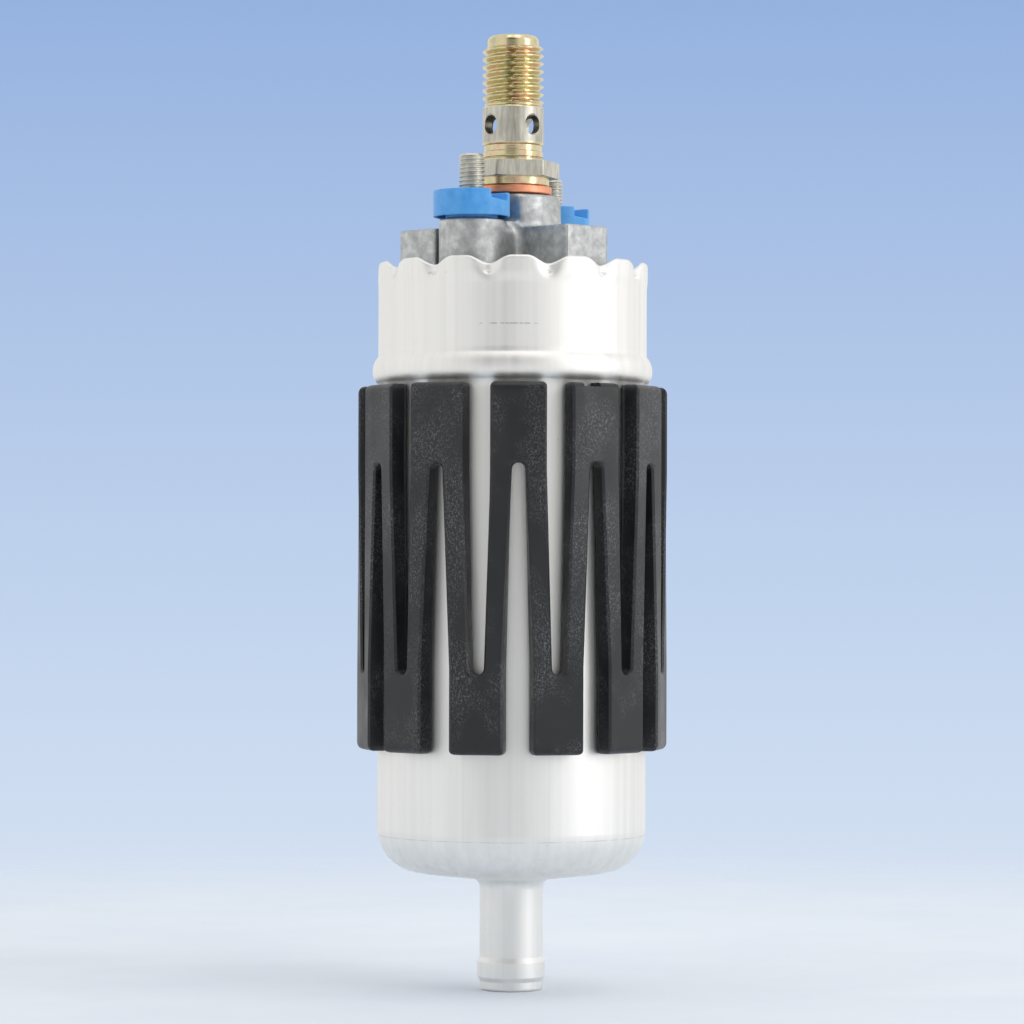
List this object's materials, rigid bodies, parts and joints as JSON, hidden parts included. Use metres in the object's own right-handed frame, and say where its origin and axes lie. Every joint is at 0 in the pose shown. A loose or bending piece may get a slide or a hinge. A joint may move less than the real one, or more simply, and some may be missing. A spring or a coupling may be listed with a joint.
{
  "type": "fuel pump",
  "caption": "In-line electric fuel pump: drawn can with hose neck, zigzag isolating sleeve, die-cast cover, capped screw terminals and a threaded outlet check valve over a gear stage and motor.",
  "frame": {"origin": "on the pump's axis at half the height of the isolating sleeve, where a clamp holds it", "axes": "+Z along the pump's axis towards the outlet, +X through the positive terminal"},
  "size_m": [0.0602, 0.0602, 0.1849],
  "materials": {
    "can_aluminium": "bare drawn, satin",
    "sleeve_plastic": "moulded, satin",
    "cover_casting": "die cast, mottled",
    "seal_rubber": "matt",
    "valve_plating": "turned, zinc plated and yellow passivated",
    "turned_brass": "turned",
    "spring_steel": "drawn wire",
    "washer_copper": "stamped soft copper, dull",
    "stud_zinc": "rolled thread, zinc plated",
    "cap_plastic": "moulded, satin",
    "strainer_plastic": "moulded",
    "plate_aluminium": "die cast and lapped",
    "gear_steel": "sintered and ground",
    "screw_steel": "zinc plated",
    "bush_bronze": "sintered bronze",
    "flux_steel": "rolled steel",
    "shaft_steel": "ground",
    "core_steel": "stacked sheet",
    "winding_copper": "enamelled wire",
    "commutator_copper": "turned copper",
    "holder_plastic": "moulded",
    "magnet_ferrite": "ground ferrite",
    "brush_carbon": "pressed carbon",
    "lead_tin": "tinned strip"
  },
  "bodies": {
    "pump": {"can": "can_aluminium", "isolating_sleeve": "sleeve_plastic", "end_cover": "cover_casting", "cover_seal": "seal_rubber", "check_valve_body": "valve_plating", "valve_seat": "turned_brass", "outlet_washer": "washer_copper", "positive_stud": "stud_zinc", "negative_stud": "stud_zinc", "positive_insulator": "cap_plastic", "negative_insulator": "cap_plastic", "positive_seal": "seal_rubber", "negative_seal": "seal_rubber", "inlet_strainer": "strainer_plastic", "inlet_plate": "plate_aluminium", "gear_ring": "gear_steel", "outlet_plate": "plate_aluminium", "stack_screws": "screw_steel", "relief_plug": "turned_brass", "lower_bush": "bush_bronze", "upper_bush": "bush_bronze", "flux_ring": "flux_steel", "brush_holder": "holder_plastic", "magnet_a": "magnet_ferrite", "magnet_b": "magnet_ferrite", "magnet_clip_a": "spring_steel", "magnet_clip_b": "spring_steel", "choke_a": "winding_copper", "choke_b": "winding_copper", "positive_lead": "lead_tin", "negative_lead": "lead_tin"},
    "armature": {"shaft": "shaft_steel", "armature_core": "core_steel", "winding": "winding_copper", "commutator": "commutator_copper", "drive_coupling": "holder_plastic", "inner_gear": "gear_steel", "thrust_washer": "holder_plastic"},
    "outer_gear_body": {"outer_gear": "gear_steel"},
    "poppet_body": {"valve_poppet": "turned_brass", "valve_spring": "spring_steel"},
    "relief_body": {"relief_ball": "spring_steel", "relief_spring": "spring_steel"},
    "brush_body_a": {"brush_a": "brush_carbon", "brush_spring_a": "spring_steel"},
    "brush_body_b": {"brush_b": "brush_carbon", "brush_spring_b": "spring_steel"}
  },
  "joints": [
    {"name": "armature_spin", "type": "hinge", "parent": "pump", "child": "armature", "pos_m": [0, 0, 0], "axis": [0, 0, 1], "continuous": true},
    {"name": "outer_gear_spin", "type": "hinge", "parent": "pump", "child": "outer_gear_body", "pos_m": [0.0011, 0, -0.042], "axis": [0, 0, 1], "continuous": true},
    {"name": "check_valve_lift", "type": "slide", "parent": "pump", "child": "poppet_body", "axis": [0, 0, 1], "range_m": [0, 0.002], "stiffness_N_per_m": 300, "deforming": ["valve_spring"]},
    {"name": "relief_valve_lift", "type": "slide", "parent": "pump", "child": "relief_body", "axis": [0, 0, -1], "range_m": [0, 0.0015], "stiffness_N_per_m": 600, "deforming": ["relief_spring"]},
    {"name": "brush_a_slide", "type": "slide", "parent": "pump", "child": "brush_body_a", "axis": [1, 0, 0], "range_m": [0, 0.0025], "stiffness_N_per_m": 300, "deforming": ["brush_spring_a"]},
    {"name": "brush_b_slide", "type": "slide", "parent": "pump", "child": "brush_body_b", "axis": [-1, 0, 0], "range_m": [0, 0.0025], "stiffness_N_per_m": 300, "deforming": ["brush_spring_b"]}
  ],
  "couplings": [
    {"joint": "outer_gear_spin", "follows": "armature_spin", "ratio": 0.85714}
  ]
}
